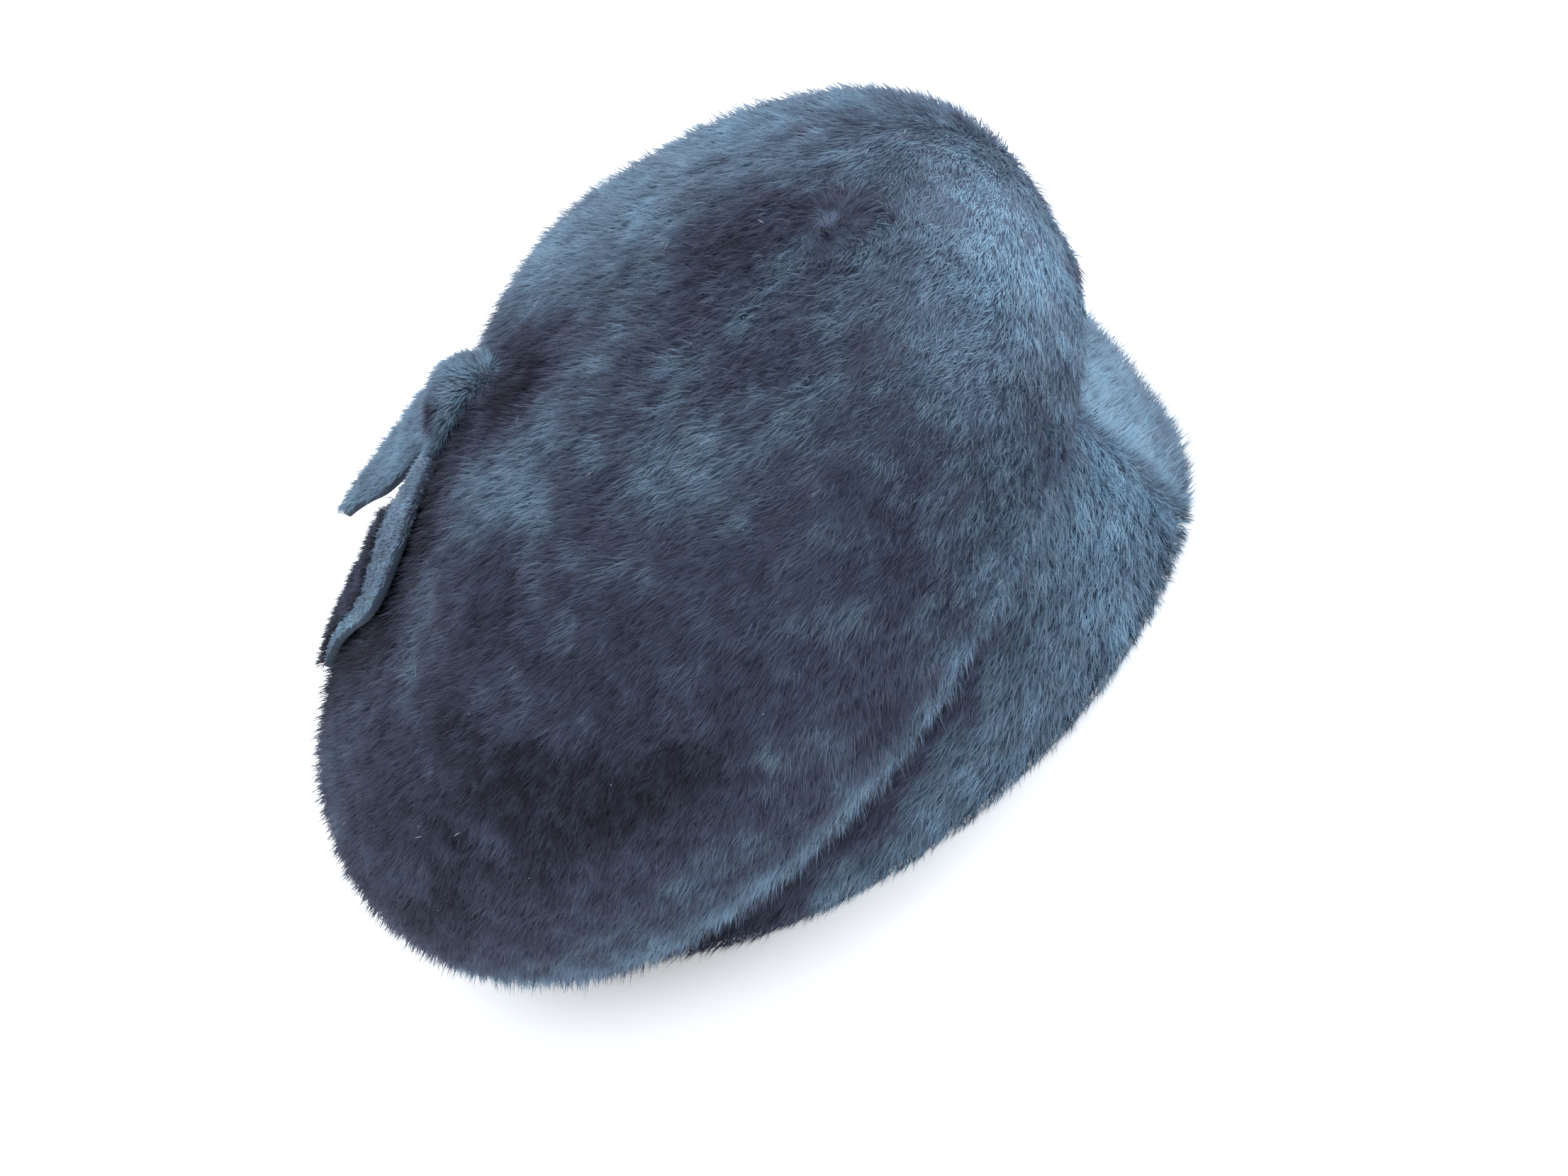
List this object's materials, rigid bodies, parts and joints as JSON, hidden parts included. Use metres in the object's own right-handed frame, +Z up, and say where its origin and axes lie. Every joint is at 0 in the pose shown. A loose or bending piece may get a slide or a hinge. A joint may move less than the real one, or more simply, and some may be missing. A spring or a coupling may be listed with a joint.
{
  "type": "fur hat",
  "caption": "Soft fur-felt hat with a full rounded crown that rolls over an upright band, tall at the front, and a knot with leaf-shaped tails at the back of its top; worn on the head.",
  "frame": {"origin": "middle of the hat's box, on the surface that the band stands on", "axes": "+Z up, the front of the hat towards -Y and the wearer's right towards -X"},
  "size_m": [0.214, 0.2364, 0.1209],
  "materials": {
    "crown_fur_felt": "dense short nap with a soft sheen",
    "band_fur_felt": "dense short nap with a soft sheen",
    "knot_fur_felt": "dense short nap",
    "lower_tail_fur_felt": "smooth cut felt over short nap",
    "upper_tail_fur_felt": "dense short nap"
  },
  "bodies": {
    "root": {"crown": "crown_fur_felt", "band": "band_fur_felt", "knot": "knot_fur_felt", "lower_tail": "lower_tail_fur_felt", "upper_tail": "upper_tail_fur_felt"}
  },
  "joints": []
}
